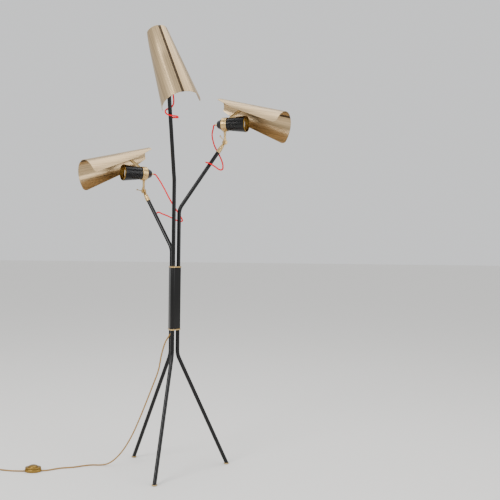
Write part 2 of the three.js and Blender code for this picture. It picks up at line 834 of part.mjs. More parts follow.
const coilSection = [
  [COIL_MID_R - coilHalf, 2],
  [COIL_MID_R - coilHalf + 2, 0],
  [COIL_MID_R + coilHalf - 2, 0],
  [COIL_MID_R + coilHalf, 2],
  [COIL_MID_R + coilHalf, coilHeight - 2],
  [COIL_MID_R + coilHalf - 2, coilHeight],
  [COIL_MID_R - coilHalf + 2, coilHeight],
  [COIL_MID_R - coilHalf, coilHeight - 2],
];
add(lamp, "mains_coil", turned(coilSection, 24).translate(COIL_X, COIL_Y, 0), GOLD_CORD);

// Plug beside the coil, its tail lying along the coil's rim
const plugX = COIL_X - 12;
const plugY = COIL_Y - COIL_MID_R - coilHalf - PLUG_R - GAP;
const plugBody = aboutX(
  [
    [0, 0],
    [PLUG_R - 1.5, 0],
    [PLUG_R, 1.5],
    [PLUG_R, PLUG_LENGTH - 12],
    [8, PLUG_LENGTH],
    [4.5, PLUG_LENGTH + 16],
    [0, PLUG_LENGTH + 16],
  ],
  14,
).translate(plugX, plugY, PLUG_R);
const tailStart = V3(plugX + PLUG_LENGTH + 12, plugY, PLUG_R);
const tail = tubeAlong(
  route(
    [
      tailStart,
      V3(tailStart.x + 16, plugY, PLUG_R - 1),
      V3(tailStart.x + 26, plugY + 12, PLUG_R - 5),
      V3(tailStart.x + 20, plugY + 26, 9),
      V3(COIL_X + COIL_MID_R + 8, plugY + 36, 6),
    ],
    12,
  ),
  MAINS_R,
  8,
);
const pinUp = box(plugX - 19, plugX + 1, plugY - 2.4, plugY + 2.4, PLUG_R + 7.1, PLUG_R + 11.9);
const pinDown = box(plugX - 19, plugX + 1, plugY - 2.4, plugY + 2.4, PLUG_R - 11.9, PLUG_R - 7.1);
add(lamp, "plug", join(plugBody, pinUp, pinDown, tail), DARK);

// Foot switch
function oval(shrink) {
  const points = ring(1, 24).map((p) => V2(p.x * (SWITCH_L / 2 - shrink), p.y * (SWITCH_W / 2 - shrink)));
  return new THREE.Shape(points);
}
const baseHeight = SWITCH_BASE_H;
const switchBase = new THREE.ExtrudeGeometry(oval(0), { depth: baseHeight, bevelEnabled: false });
add(lamp, "switch_base", switchBase.translate(SWITCH_X, SWITCH_Y, 0), BRASS);
const coverShape = oval(1.5);
coverShape.holes.push(new THREE.Path(ring(BUTTON_R + 0.5, 20).reverse()));
const coverHeight = SWITCH_COVER_TOP - baseHeight - GAP;
const cover = new THREE.ExtrudeGeometry(coverShape, { depth: coverHeight, bevelEnabled: false });
add(lamp, "switch_cover", cover.translate(SWITCH_X, SWITCH_Y, baseHeight + GAP), BRASS);
const buttonBottom = baseHeight + GAP + BUTTON_TRAVEL + GAP;
const button = turned(
  [
    [0, buttonBottom],
    [BUTTON_R, buttonBottom],
    [BUTTON_R, SWITCH_COVER_TOP + 1],
    [BUTTON_R - 3, BUTTON_TOP - 2],
    [BUTTON_R - 9, BUTTON_TOP - 0.4],
    [0, BUTTON_TOP],
  ],
  20,
);
add(lamp, "foot_button", button.translate(SWITCH_X, SWITCH_Y, 0), BRASS);

// The origin is under the middle of the lamp's box, measured without the free mains cord
const FREE = ["mains_cord_a", "mains_cord_b", "mains_coil", "plug"];
const SWITCH_PIECES = ["switch_base", "switch_cover", "foot_button"];
lamp.updateMatrixWorld(true);
const extent = new THREE.Box3();
lamp.traverse((o) => {
  if (o.isMesh && !FREE.includes(o.name) && !SWITCH_PIECES.includes(o.name)) {
    extent.expandByObject(o, true);
  }
});
const middle = extent.getCenter(V3(0, 0, 0));
lamp.children.forEach((child) => {
  if (child.matrixAutoUpdate) {
    child.position.x -= middle.x;
    child.position.y -= middle.y;
    return;
  }
  child.matrix.elements[12] -= middle.x;
  child.matrix.elements[13] -= middle.y;
});
lamp.updateMatrixWorld(true);

export default lamp;
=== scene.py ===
import json
import math

import bpy
from mathutils import Matrix, Vector

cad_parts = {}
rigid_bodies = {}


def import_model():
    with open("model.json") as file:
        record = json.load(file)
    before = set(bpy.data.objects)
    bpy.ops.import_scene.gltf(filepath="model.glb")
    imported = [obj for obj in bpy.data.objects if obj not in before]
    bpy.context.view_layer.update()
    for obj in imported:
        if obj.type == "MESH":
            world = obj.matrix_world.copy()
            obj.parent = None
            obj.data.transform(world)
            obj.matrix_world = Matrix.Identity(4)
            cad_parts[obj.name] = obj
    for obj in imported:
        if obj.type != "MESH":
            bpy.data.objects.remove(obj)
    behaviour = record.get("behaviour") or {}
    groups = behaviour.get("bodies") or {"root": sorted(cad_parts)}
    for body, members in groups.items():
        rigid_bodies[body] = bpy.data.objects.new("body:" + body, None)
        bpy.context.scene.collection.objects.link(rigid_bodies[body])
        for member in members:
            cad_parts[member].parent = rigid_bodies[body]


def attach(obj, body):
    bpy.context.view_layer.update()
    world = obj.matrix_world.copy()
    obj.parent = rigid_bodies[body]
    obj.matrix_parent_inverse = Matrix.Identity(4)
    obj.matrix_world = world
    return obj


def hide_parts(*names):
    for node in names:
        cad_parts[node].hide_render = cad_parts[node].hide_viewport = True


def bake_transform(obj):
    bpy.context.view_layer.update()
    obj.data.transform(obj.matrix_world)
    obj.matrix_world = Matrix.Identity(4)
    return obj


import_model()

bl_info = {
    "name": "Tripod floor lamp",
    "version": (1, 0, 0),
    "blender": (4, 5, 0),
    "location": "3D View > Sidebar > Lamp",
    "description": "Builds the look of a three-headed tripod floor lamp round its fixed CAD frame",
    "category": "Object",
}

SIDES = ("left", "right", "top")
TUBES = {"left": "tube_left", "right": "tube_right", "top": "tube_tall"}
FEET = {"left": "foot_left", "right": "foot_right", "top": "foot_front"}
ROLL = {"left": 30.0, "right": -30.0, "top": -3.0}

MM = 0.001
HALF_MM = 0.0005

# Column axis in the frame, metres
AXIS = Vector((-0.032291, 0.073258, 0.0))

# Knuckle and head frames in millimetres: x, y, z directions and origin, as in the CAD
FRAMES = {
    "ferrule_left": (
        (-0.557102, 0.580940, -0.593419), (-0.721760, -0.692143, 0.000000),
        (-0.410731, 0.428306, 0.804894), (-136.7485, 182.1858, 1030.0000)),
    "ferrule_right": (
        (-0.804158, -0.197520, 0.560639), (0.238533, -0.971134, 0.000000),
        (0.544456, 0.133731, 0.828060), (129.8715, 113.0892, 1220.0000)),
    "ferrule_top": (
        (-0.269610, -0.928005, -0.257133), (0.960294, -0.278991, 0.000000),
        (-0.071738, -0.246923, 0.966376), (-61.5487, -27.4482, 1440.0000)),
    "stem_left": (
        (-0.692143, 0.721760, 0.000000), (-0.721760, -0.692143, 0.000000),
        (0.000000, 0.000000, 1.000000), (-157.2851, 203.6011, 1070.2447)),
    "stem_right": (
        (-0.971134, -0.238533, 0.000000), (0.238533, -0.971134, 0.000000),
        (0.000000, 0.000000, 1.000000), (157.0943, 119.7757, 1261.4030)),
    "stem_top": (
        (-0.183035, -0.630009, -0.754710), (0.960294, -0.278991, 0.000000),
        (-0.210557, -0.724743, 0.656059), (-65.1356, -39.7943, 1488.3188)),
    "lever_left": (
        (-0.120189, 0.125332, -0.984808), (-0.721760, -0.692143, 0.000000),
        (-0.681628, 0.710795, 0.173648), (-157.2851, 203.6011, 1070.2447)),
    "lever_right": (
        (-0.698576, -0.171587, -0.694658), (0.238533, -0.971134, 0.000000),
        (-0.674607, -0.165699, 0.719340), (157.0943, 119.7757, 1261.4030)),
    "lever_top": (
        (-0.179332, -0.617265, 0.766044), (0.960294, -0.278991, 0.000000),
        (0.213720, 0.735628, 0.642788), (-65.1356, -39.7943, 1488.3188)),
    "head_left": (
        (-0.906308, -0.422618, 0.000000), (0.422618, -0.906308, 0.000000),
        (0.000000, 0.000000, 1.000000), (-157.2851, 203.6011, 1139.2447)),
    "head_right": (
        (0.906308, -0.422618, 0.000000), (0.422618, 0.906308, 0.000000),
        (0.000000, 0.000000, 1.000000), (157.0943, 119.7757, 1330.4030)),
    "head_top": (
        (0.248213, -0.688746, -0.681190), (0.945545, 0.019413, 0.324911),
        (-0.210557, -0.724743, 0.656059), (-79.6641, -89.8016, 1533.5869)),
}

# Cord routes in millimetres from the column axis, as in the CAD
ROUTES = {
    "left_upper": [
        (-87.3, 147.9, 1139.2), (-80.2, 148.0, 1137.5), (-76.2, 141.7, 1132.6),
        (-71.6, 137.3, 1126.5), (-66.9, 134.2, 1119.6), (-62.3, 131.2, 1112.6),
        (-57.9, 127.8, 1105.6), (-53.8, 124.0, 1098.7), (-49.9, 119.9, 1091.8),
        (-46.1, 115.7, 1084.9), (-42.3, 111.6, 1078.0), (-38.6, 107.4, 1071.0),
        (-35.1, 103.2, 1064.1), (-31.5, 99.0, 1057.1), (-27.8, 94.9, 1050.1),
    ],
    "left_lower": [
        (-27.7, 94.7, 1049.9), (-24.0, 90.9, 1043.1), (-20.1, 87.0, 1036.1),
        (-16.2, 83.1, 1029.1), (-12.2, 79.2, 1022.2), (-8.0, 75.4, 1015.3),
        (-3.8, 71.4, 1008.6), (0.6, 67.4, 1001.9), (5.0, 63.6, 995.2),
        (9.5, 59.9, 988.4), (14.0, 56.7, 981.5), (18.7, 53.8, 974.5),
        (23.2, 51.0, 967.3), (27.2, 48.2, 959.9), (28.1, 45.8, 952.2),
        (19.3, 45.7, 951.5), (10.7, 46.5, 953.3), (2.6, 47.8, 956.9),
        (-5.3, 49.4, 960.8), (-13.1, 51.5, 964.4), (-20.8, 54.0, 968.1),
        (-28.4, 56.8, 971.7), (-36.2, 59.8, 974.9), (-44.0, 62.9, 977.8),
        (-51.4, 67.0, 980.6), (-57.7, 72.5, 983.7), (-63.9, 78.3, 986.2),
        (-71.3, 80.6, 983.3),
    ],
    "right_upper": [
        (151.7, 64.1, 1330.4), (145.9, 67.1, 1327.0), (145.1, 68.0, 1318.2),
        (143.1, 68.3, 1309.4), (141.2, 68.3, 1300.6), (140.4, 67.9, 1291.8),
        (141.2, 67.3, 1282.9), (142.9, 66.4, 1274.1), (145.0, 65.4, 1265.5),
        (147.4, 64.0, 1256.9), (150.2, 62.3, 1248.6), (153.6, 60.5, 1240.6),
    ],
    "right_lower": [
        (153.8, 60.4, 1240.3), (158.0, 58.7, 1233.0), (162.0, 56.4, 1225.3),
        (165.8, 53.8, 1217.6), (169.4, 50.7, 1210.0), (172.8, 47.2, 1202.5),
        (175.9, 43.4, 1195.1), (178.5, 39.6, 1187.4), (180.7, 35.8, 1179.6),
        (182.1, 31.8, 1171.7), (182.3, 27.5, 1163.8), (181.3, 23.0, 1156.2),
        (175.5, 18.3, 1152.0), (167.2, 15.3, 1152.9), (159.6, 14.5, 1157.5),
        (152.4, 14.5, 1162.8), (144.8, 14.4, 1167.5), (137.1, 14.9, 1172.0),
        (129.2, 17.0, 1175.7), (121.8, 21.0, 1178.5), (117.2, 28.2, 1180.9),
        (117.0, 36.9, 1181.8), (121.7, 44.4, 1180.7), (129.8, 47.8, 1181.2),
        (134.2, 41.6, 1181.3),
    ],
    "top_upper": [
        (-57.7, -134.4, 1561.9), (-60.1, -128.0, 1567.8), (-60.9, -119.8, 1571.1),
        (-59.6, -111.0, 1572.2), (-57.5, -102.5, 1570.3), (-54.8, -95.8, 1564.9),
        (-51.9, -90.5, 1558.2), (-49.1, -85.8, 1551.0),
    ],
    "top_lower": [
        (-49.0, -85.7, 1550.8), (-46.5, -81.6, 1543.5), (-43.9, -78.1, 1535.6),
        (-41.5, -75.2, 1527.4), (-39.1, -72.8, 1519.0), (-36.7, -70.6, 1510.6),
        (-34.3, -68.8, 1502.1), (-31.9, -67.4, 1493.5), (-29.4, -66.4, 1484.9),
        (-27.0, -65.7, 1476.2), (-24.7, -65.1, 1467.5), (-22.3, -64.7, 1458.8),
        (-19.9, -64.6, 1450.1), (-17.5, -64.7, 1441.4), (-15.2, -64.8, 1432.6),
        (-13.1, -65.0, 1423.8), (-11.5, -65.0, 1415.0), (-10.4, -65.2, 1406.0),
        (-10.1, -64.8, 1397.0), (-10.9, -63.6, 1388.1), (-14.6, -62.0, 1380.1),
        (-20.6, -60.8, 1373.6), (-28.2, -63.4, 1369.6), (-35.3, -68.1, 1366.8),
        (-39.3, -74.4, 1361.9), (-40.8, -81.4, 1356.3), (-39.2, -88.0, 1350.5),
        (-34.7, -93.7, 1345.1), (-27.7, -97.6, 1341.3), (-19.0, -99.3, 1339.5),
        (-10.1, -98.3, 1338.6), (-2.0, -94.3, 1338.8), (4.3, -88.1, 1338.2),
        (7.1, -80.0, 1335.9), (2.1, -72.9, 1335.7), (-5.7, -68.4, 1336.4),
        (-13.9, -70.2, 1335.4),
    ],
    "mains_a": [
        (-9.9, -2.4, 520.2), (-20.1, -5.0, 506.9), (-28.8, -7.0, 492.4),
        (-35.0, -7.8, 476.5), (-39.8, -8.0, 460.2), (-44.0, -8.0, 443.9),
        (-47.4, -7.8, 427.1), (-50.1, -7.4, 410.2), (-52.9, -6.7, 393.5),
        (-56.8, -5.8, 376.9), (-61.9, -4.5, 360.7), (-67.6, -2.8, 344.8),
        (-73.6, -1.2, 328.9), (-79.4, 0.4, 313.0), (-85.3, 1.8, 297.1),
        (-91.2, 3.2, 281.2), (-97.2, 4.6, 265.3), (-103.2, 6.1, 249.4),
        (-109.2, 7.5, 233.6), (-115.3, 9.0, 217.7), (-121.4, 10.5, 201.9),
        (-127.7, 12.2, 186.2), (-134.1, 14.0, 170.5), (-140.6, 15.9, 154.9),
        (-147.3, 17.8, 139.4), (-154.5, 19.9, 124.1), (-162.1, 22.0, 109.0),
        (-170.2, 24.2, 94.2), (-178.7, 26.5, 79.6), (-188.0, 28.7, 65.6),
        (-198.0, 30.8, 52.0), (-209.0, 33.0, 39.1), (-221.1, 35.4, 27.4),
        (-234.2, 37.8, 16.8), (-248.9, 40.5, 8.8), (-265.1, 43.7, 4.8),
        (-281.8, 46.2, 3.0), (-298.7, 48.3, 3.0), (-315.7, 47.3, 3.0),
        (-331.7, 41.8, 3.0), (-347.3, 35.0, 3.0), (-362.4, 27.1, 3.0),
        (-378.1, 20.7, 3.0), (-394.8, 17.2, 3.0), (-411.6, 14.1, 3.0),
        (-427.8, 9.2, 3.0), (-442.5, 0.6, 3.0), (-456.9, -8.5, 3.0),
        (-472.3, -15.6, 3.0), (-488.7, -20.0, 3.0),
    ],
    "mains_b": [
        (-551.3, -20.0, 3.0), (-567.6, -19.5, 3.0), (-583.8, -17.8, 3.0),
        (-599.9, -15.0, 3.0), (-615.5, -10.2, 3.0), (-630.7, -4.5, 3.0),
        (-645.9, 1.4, 3.0), (-661.2, 7.1, 3.0), (-676.6, 12.4, 3.0),
        (-692.4, 16.4, 3.0), (-708.7, 17.3, 3.0), (-725.0, 17.3, 3.0),
    ],
    "plug_tail": [
        (-691.0, -82.3, 18.0), (-677.9, -83.1, 17.4), (-667.6, -76.0, 14.8),
        (-666.2, -64.2, 11.2), (-673.4, -53.8, 8.3), (-684.0, -46.3, 6.0),
    ],
}

# Each tube: azimuth in degrees, height of its bend, lean of its arm in degrees, height of its end
ARMS = {
    "left": (133.8, 847, 36.4, 1030),
    "right": (13.8, 997, 34.1, 1220),
    "top": (253.8, 1106, 14.9, 1440),
}

# Tripod sizes in millimetres
TUBE_R = 7.5
TUBE_LINE_R = 16
LEG_BEND_Z = 440
FOOT_R = 220
FOOT_TOP_Z = 5.3
LEG_BEND_R = 80
ARM_BEND_R = 60
GLIDE_OVERLAP = 12

# The coil of cord that lies out of the view: two turns wide and three high
COIL_TURNS = 6
COIL_WIDE = 2
COIL_STEPS = 40
COIL_CENTRE = (-725.0, -25.0)
COIL_MID_R = 33.0
COIL_HALF_PITCH = 3.05
COIL_RISE = 5.9
COIL_SHIFT_FROM = 0.7
COIL_STEPS_OF_LEAD = 6
PLUG_AT = (-737.0, -82.3, 18)

# Twisted section: strands, and depth of the grooves between them in metres
CORD_LOBES = 3
CORD_LOBE_DEPTH = 0.0007

# Shade sheet: ridge from its rear end to its mouth, and the gutter's radius and wall along it
RIDGE_RUN = 290
RIDGE_DROP = 84
RIDGE_REAR = (-33, 119)
SHADE_REAR_R = 39
SHADE_FLARE = 29.5
SHADE_WALL = 21.5
SHADE_CUT = 0.25
SHADE_CUT_RUN = 0.36
SHADE_CORNER_R = 16
SEAM_FROM = 6
SEAM_TO = 16
SEAM_MARGIN = 0.1
SHEET = 1.5

# Sleeve and collars: distance of the skin from each tube's axis, and heights
SLEEVE_SKIN = 9.9
SLEEVE_Z = (540.3, 773.7)
COLLAR_SKIN = 11.2
COLLAR_THICK = 5
COLLARS = (("collar_bottom", 535), ("collar_top", 774))

# Knuckle: the two discs on the tilt axis, their gap, and the necks that carry them
DISC_R = 9.5
DISC_NEAR = 0.15
DISC_FAR = 5.15
DISC_Z = 50
NECK_HALF = 4.4
FERRULE_NECK_Z = 36.5
STEM_NECK_Z = 14.5

# Turned pieces: pairs of radius and height, or radius and place along a head, in millimetres
GLIDE = ((9.4, 1.5), (10, 2.0), (10, 4.3), (9.3, 5.0))
PAD = ((9.0, 0.0), (9.2, 0.3), (9.2, 1.45))
FERRULE = ((8.3, 0.3), (8.75, 0.8), (8.75, 6.8), (7.85, 7.6), (7.85, 9.2), (8.55, 10), (8.3, 17.6),
           (7.4, 18.4), (7.4, 20.2), (7.9, 21), (7.2, 27), (5.4, 38.6), (4.8, 39.3))
STEM = ((4.2, 11.4), (4.6, 11.8), (4.6, 35.2), (5.3, 36), (5.6, 36.5), (5.6, 41.2), (5.2, 41.6))
LEVER_ROD = ((1.5, 2), (1.6, 3), (1.6, 25), (2.7, 28), (2.7, 32), (2.0, 33.6), (0.8, 34))
HOUSING = ((23.4, -9), (24, -8.4), (24, 12), (32, 85.6), (31.6, 86), (30.8, 86), (30.5, 85.6),
           (22.5, 12), (22.5, -7.5))
CLAMP_BAND = ((26.4, -9), (27, -8.4), (27, 4.4), (26.4, 5), (24.35, 5), (24.35, -8.98))
REAR_CAP = ((13.4, -30), (14, -29.4), (21, -14.3), (23.6, -12), (24, -11.4), (24, -9.3))
GLAND = ((3.4, -40.3), (3.9, -39.8), (4, -34.3), (5, -33.7), (5, -30.3))
MOUTH_RING = ((27.4, 74), (28.8, 74), (30.5, 89.6), (30.1, 90), (29.2, 90), (27.5, 74.6))
BULB = ((8, 28.3), (8.4, 33), (10, 38), (17, 52), (22.5, 61), (25, 66), (25, 71), (22, 74.5), (13, 77),
        (4, 78))
BRACKET_RING = ((26.5, 5.3), (27, 5.8), (27, 11.5), (26.5, 12), (24.35, 12), (24.35, 5.35))
BUTTON = ((18, 14.6), (18, 20), (17.5, 21.4), (15, 23.4), (12, 24.8), (8, 25.6), (3, 26))
PLUG_BODY = ((16.5, 0), (18, 1.5), (18, 21), (16, 24), (8, 34), (6, 40), (4.5, 50))
PLUG_PIN = ((1.6, -19), (2.4, -18), (2.4, 1))

# Vent holes of a housing: radius, depth and distance out, and where the rows are
VENT_R = 2.1
VENT_DEPTH = 16
VENT_OUT = 27.5
VENT_ROWS = (27, 37, 47, 57)
VENTS_IN_ROW = 12

# Foot switch, in metres from the column axis
SWITCH_AT = (-0.520, -0.020, 0)

# Camera sensor in millimetres, far limit and floor size in metres
SENSOR = 36
FAR = 50
FLOOR = 40

# Lights: name, place, aim, size and power
LIGHTS = (
    ("key", (-2.4, -2.6, 3.0), (0, 0, 1.0), (1.6, 2.2), 120),
    ("fill", (2.8, -2.2, 1.8), (0, 0, 0.9), (2.0, 2.4), 40),
    ("top", (0.3, 0.4, 3.6), (0, 0, 1.0), (2.4, 2.4), 40),
)
SKY = (0.95, 0.96, 0.97, 1)
SKY_STRENGTH = 0.95


# ---------------------------------------------------------------- helpers

def frame_matrix(name):
    x, y, z, p = (Vector(v) for v in FRAMES[name])
    m = Matrix((x, y, z)).transposed().to_4x4()
    m.translation = p * MM
    return m


def activate(obj):
    if bpy.context.object and bpy.context.object.mode != "OBJECT":
        bpy.ops.object.mode_set(mode="OBJECT")
    bpy.ops.object.select_all(action="DESELECT")
    obj.select_set(True)
    bpy.context.view_layer.objects.active = obj


def settle(obj, matrix):
    """Moves a piece to its place and leaves the object itself at the origin."""
    activate(obj)
    obj.matrix_world = matrix
    bpy.ops.object.transform_apply(location=True, rotation=True, scale=True)
    return obj


def outward(obj):
    activate(obj)
    bpy.ops.object.mode_set(mode="EDIT")
    bpy.ops.mesh.select_all(action="SELECT")
    bpy.ops.mesh.normals_make_consistent(inside=False)
    bpy.ops.object.mode_set(mode="OBJECT")


def smooth(obj, angle=35):
    activate(obj)
    bpy.ops.object.shade_smooth_by_angle(angle=math.radians(angle))


def bevel(obj, width, segments=2, angle=35):
    activate(obj)
    m = obj.modifiers.new("Edges", "BEVEL")
    m.width = width * MM
    m.segments = segments
    m.limit_method = "ANGLE"
    m.angle_limit = math.radians(angle)
    m.harden_normals = False
    bpy.ops.object.modifier_apply(modifier=m.name)


def finish_piece(obj, name, material, matrix, body, replaces=(), angle=35):
    obj.name = name
    obj.data.name = name
    settle(obj, matrix)
    outward(obj)
    smooth(obj, angle)
    obj.data.materials.clear()
    obj.data.materials.append(material)
    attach(obj, body)
    if replaces:
        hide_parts(*replaces)
    return obj


def turn_piece(pairs, steps=48):
    """Turned piece about Z from radius and height pairs in mm: a disc drawn up face by face."""
    r0, z0 = pairs[0]
    bpy.ops.mesh.primitive_circle_add(
        vertices=steps, radius=r0 * MM, fill_type="NGON", location=(0, 0, z0 * MM))
    obj = bpy.context.object
    bpy.ops.object.transform_apply(location=True, rotation=False, scale=False)
    bpy.ops.object.mode_set(mode="EDIT")
    bpy.ops.mesh.select_all(action="SELECT")
    for (ra, za), (rb, zb) in zip(pairs, pairs[1:]):
        bpy.ops.mesh.extrude_region_move(TRANSFORM_OT_translate={"value": (0, 0, (zb - za) * MM)})
        k = rb / ra
        bpy.ops.transform.resize(value=(k, k, 1), center_override=(0, 0, zb * MM))
    bpy.ops.object.mode_set(mode="OBJECT")
    return obj


ALONG_X = Matrix.Rotation(math.radians(90), 4, "Y")


def turn_piece_x(pairs, steps=64):
    obj = turn_piece(pairs, steps)
    return settle(obj, ALONG_X)


def pin_y(radius, y0, y1, z=0.0, steps=40):
    depth = (y1 - y0) * MM
    bpy.ops.mesh.primitive_cylinder_add(
        vertices=steps, radius=radius * MM, depth=depth,
        location=(0, (y0 + y1) * HALF_MM, z * MM), rotation=(math.radians(90), 0, 0))
    obj = bpy.context.object
    bpy.ops.object.transform_apply(location=True, rotation=True, scale=True)
    return obj


def block(x0, x1, y0, y1, z0, z1):
    bpy.ops.mesh.primitive_cube_add(
        size=1, location=((x0 + x1) * HALF_MM, (y0 + y1) * HALF_MM, (z0 + z1) * HALF_MM))
    obj = bpy.context.object
    obj.scale = ((x1 - x0) * MM, (y1 - y0) * MM, (z1 - z0) * MM)
    bpy.ops.object.transform_apply(location=True, rotation=True, scale=True)
    return obj


def boolean(target, tool, operation):
    outward(target)
    outward(tool)
    activate(target)
    m = target.modifiers.new("Cut", "BOOLEAN")
    m.operation = operation
    m.solver = "EXACT"
    m.object = tool
    bpy.ops.object.modifier_apply(modifier=m.name)
    bpy.data.objects.remove(tool, do_unlink=True)
    return target


def join_as_one(objs):
    activate(objs[0])
    for o in objs[1:]:
        o.select_set(True)
    bpy.ops.object.join()
    return bpy.context.object


def between(points, per_gap):
    """Catmull-Rom points through the given ones."""
    p = [Vector(q) for q in points]
    p = [p[0] * 2 - p[1]] + p + [p[-1] * 2 - p[-2]]
    out = []
    for i in range(1, len(p) - 2):
        a, b, c, d = p[i - 1], p[i], p[i + 1], p[i + 2]
        for k in range(per_gap):
            t = k / per_gap
            out.append(0.5 * ((2 * b) + (c - a) * t + (2 * a - 5 * b + 4 * c - d) * t * t
                              + (3 * b - a - 3 * c + d) * t ** 3))
    out.append(p[-2])
    return out


def swept(points, radius, sides, twist_pitch=None):
    """Tube along points (metres) by curve ops. With a pitch, a lobed section turns along it."""
    bpy.ops.curve.primitive_nurbs_path_add()
    obj = bpy.context.object
    data = obj.data
    data.splines.clear()
    line = data.splines.new("POLY")
    line.points.add(len(points) - 1)
    run = 0.0
    for i, p in enumerate(points):
        if i:
            run += (Vector(p) - Vector(points[i - 1])).length
        line.points[i].co = (*p, 1)
        if twist_pitch:
            line.points[i].tilt = 2 * math.pi * run / twist_pitch
    data.dimensions = "3D"
    data.twist_mode = "MINIMUM"
    data.use_fill_caps = True
    profile = None
    if twist_pitch:
        bpy.ops.curve.primitive_nurbs_circle_add()
        profile = bpy.context.object
        profile.data.splines.clear()
        loop = profile.data.splines.new("POLY")
        loop.use_cyclic_u = True
        loop.points.add(sides - 1)
        for i in range(sides):
            a = 2 * math.pi * i / sides
            r = radius - CORD_LOBE_DEPTH + CORD_LOBE_DEPTH * abs(math.cos(CORD_LOBES * a / 2))
            loop.points[i].co = (r * math.cos(a), r * math.sin(a), 0, 1)
        data.bevel_mode = "OBJECT"
        data.bevel_object = profile
    else:
        data.bevel_mode = "ROUND"
        data.bevel_depth = radius
        data.bevel_resolution = max(1, sides // 4 - 1)
    activate(obj)
    bpy.ops.object.convert(target="MESH")
    obj = bpy.context.object
    if profile:
        bpy.data.objects.remove(profile, do_unlink=True)
    activate(obj)
    bpy.ops.object.mode_set(mode="EDIT")
    bpy.ops.mesh.select_all(action="SELECT")
    bpy.ops.mesh.remove_doubles(threshold=0.00001)
    bpy.ops.object.mode_set(mode="OBJECT")
    return obj


def in_frame(name, per_gap=3):
    """A cord route in the shared frame, in metres, with per_gap points to each gap."""
    return [p * MM + AXIS for p in between(ROUTES[name], per_gap)]


# ---------------------------------------------------------------- materials

def colour(hex_text):
    """sRGB hex to linear RGBA."""
    out = []
    for i in (0, 2, 4):
        c = int(hex_text[i:i + 2], 16) / 255
        out.append(c / 12.92 if c <= 0.04045 else ((c + 0.055) / 1.055) ** 2.4)
    return (*out, 1.0)


def add_node(tree, kind, settings=None, **links):
    node = tree.nodes.new(kind)
    for key, value in (settings or {}).items():
        node.inputs[key].default_value = value
    for key, source in links.items():
        tree.links.new(source, node.inputs[key])
    return node


def shader(name, tone, rough, metal=0.0, **sockets):
    mat = bpy.data.materials.new(name)
    mat.use_nodes = True
    bsdf = mat.node_tree.nodes["Principled BSDF"]
    bsdf.inputs["Base Color"].default_value = colour(tone) if isinstance(tone, str) else tuple(tone)
    bsdf.inputs["Roughness"].default_value = rough
    bsdf.inputs["Metallic"].default_value = metal
    for key, value in sockets.items():
        bsdf.inputs[key.replace("_", " ")].default_value = value
    return mat, mat.node_tree, bsdf


def grain(tree, bsdf, scale_mm, strength, distance_mm, rough=None, stretch=(1, 1, 1), coords="Object"):
    """Fine relief of a real size in mm, with a little roughness variation."""
    where = add_node(tree, "ShaderNodeTexCoord")
    place = add_node(tree, "ShaderNodeMapping", {"Scale": [s * 1000 / scale_mm for s in stretch]},
                     Vector=where.outputs[coords])
    noise = add_node(tree, "ShaderNodeTexNoise", {"Scale": 1.0, "Detail": 4.0, "Roughness": 0.6},
                     Vector=place.outputs["Vector"])
    bump = add_node(tree, "ShaderNodeBump", {"Strength": strength, "Distance": distance_mm * MM},
                    Height=noise.outputs["Fac"])
    tree.links.new(bump.outputs["Normal"], bsdf.inputs["Normal"])
    if rough:
        span = add_node(tree, "ShaderNodeMapRange", {"To Min": rough[0], "To Max": rough[1]},
                        Value=noise.outputs["Fac"])
        tree.links.new(span.outputs["Result"], bsdf.inputs["Roughness"])


def brush_and_reflection_bands(tree, bsdf, scale_mm, tone, levels):
    """Soft bands of a real width in mm down the length of a sheet, between two levels of a tone: partly
    brush tone, partly painted reflections, dark and light.
    """
    where = add_node(tree, "ShaderNodeTexCoord")
    place = add_node(tree, "ShaderNodeMapping", {"Scale": (10 / scale_mm, 1000 / scale_mm, 1)},
                     Vector=where.outputs["UV"])
    noise = add_node(tree, "ShaderNodeTexNoise", {"Scale": 1.0, "Detail": 3.0},
                     Vector=place.outputs["Vector"])
    ramp = add_node(tree, "ShaderNodeValToRGB", Fac=noise.outputs["Fac"])
    for stop, at, level in zip(ramp.color_ramp.elements, (0.36, 0.62), levels):
        stop.position = at
        stop.color = (*(min(c * level, 1) for c in tone[:3]), 1)
    tree.links.new(ramp.outputs["Color"], bsdf.inputs["Base Color"])


